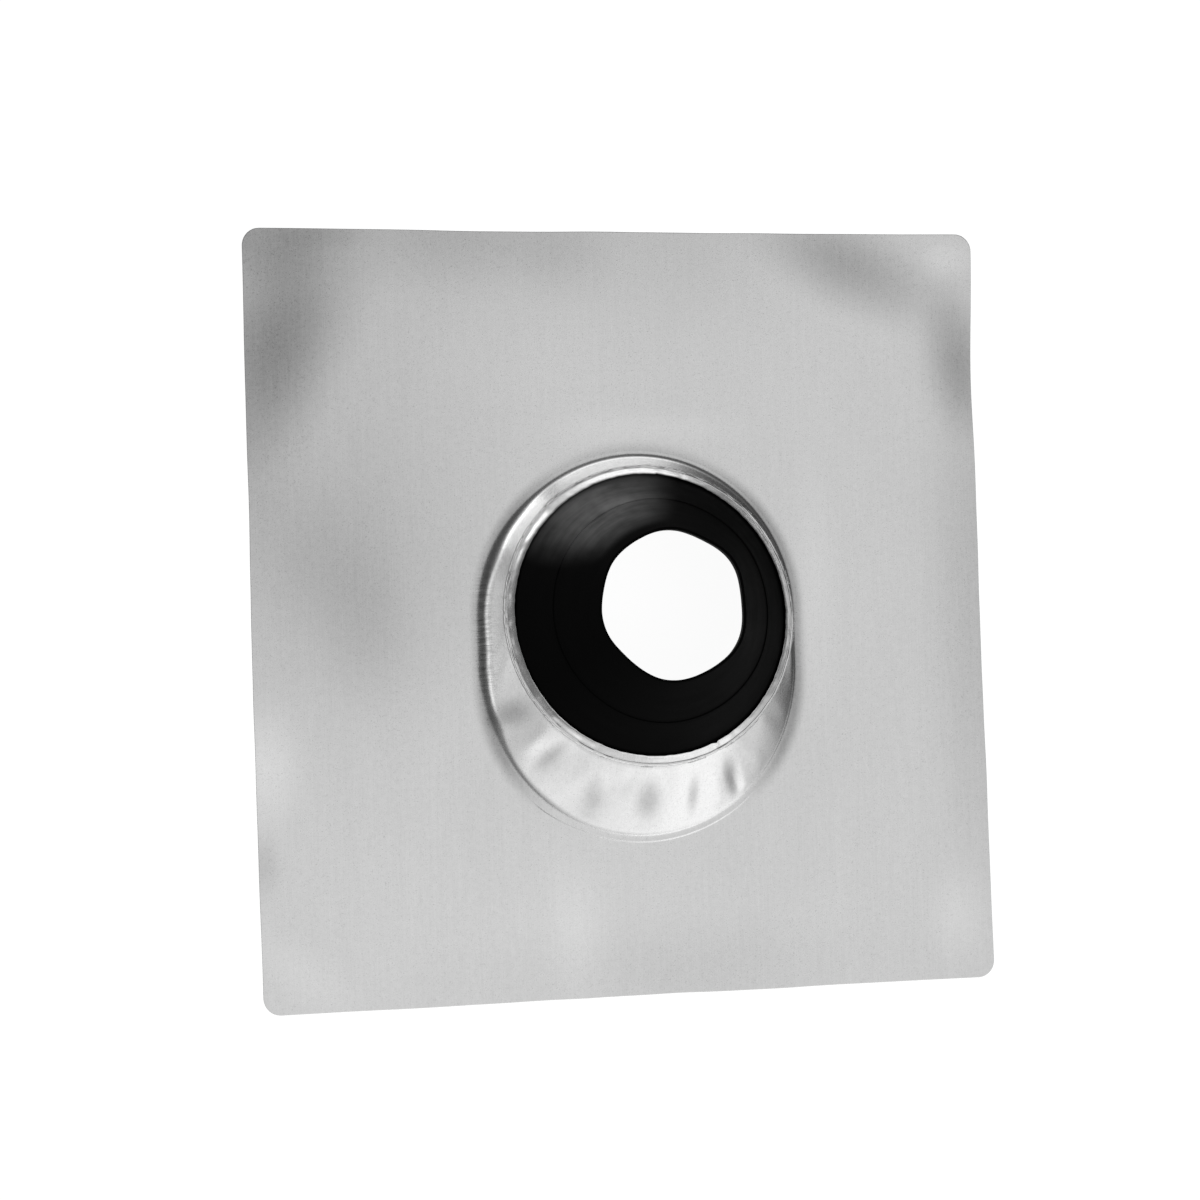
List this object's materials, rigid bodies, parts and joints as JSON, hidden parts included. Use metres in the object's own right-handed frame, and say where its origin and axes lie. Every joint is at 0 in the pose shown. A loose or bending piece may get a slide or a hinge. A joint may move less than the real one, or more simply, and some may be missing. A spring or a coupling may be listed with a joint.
{
  "type": "pipe flashing boot",
  "caption": "Square aluminium roof flashing with a drawn sloping boss whose crimped rim holds a conical black rubber collar round a vent pipe.",
  "frame": {"origin": "middle of the square sheet's underside, on the roof deck", "axes": "+Z off the deck, +Y up the slope towards the boss's short side, +X to the right looking up the slope"},
  "size_m": [0.4572, 0.4572, 0.0716],
  "materials": {
    "mill_aluminium": "mill finish, fine rolled grain",
    "black_rubber": "moulded, satin"
  },
  "bodies": {
    "root": {"flashing_base": "mill_aluminium", "pipe_collar": "black_rubber"}
  },
  "joints": []
}
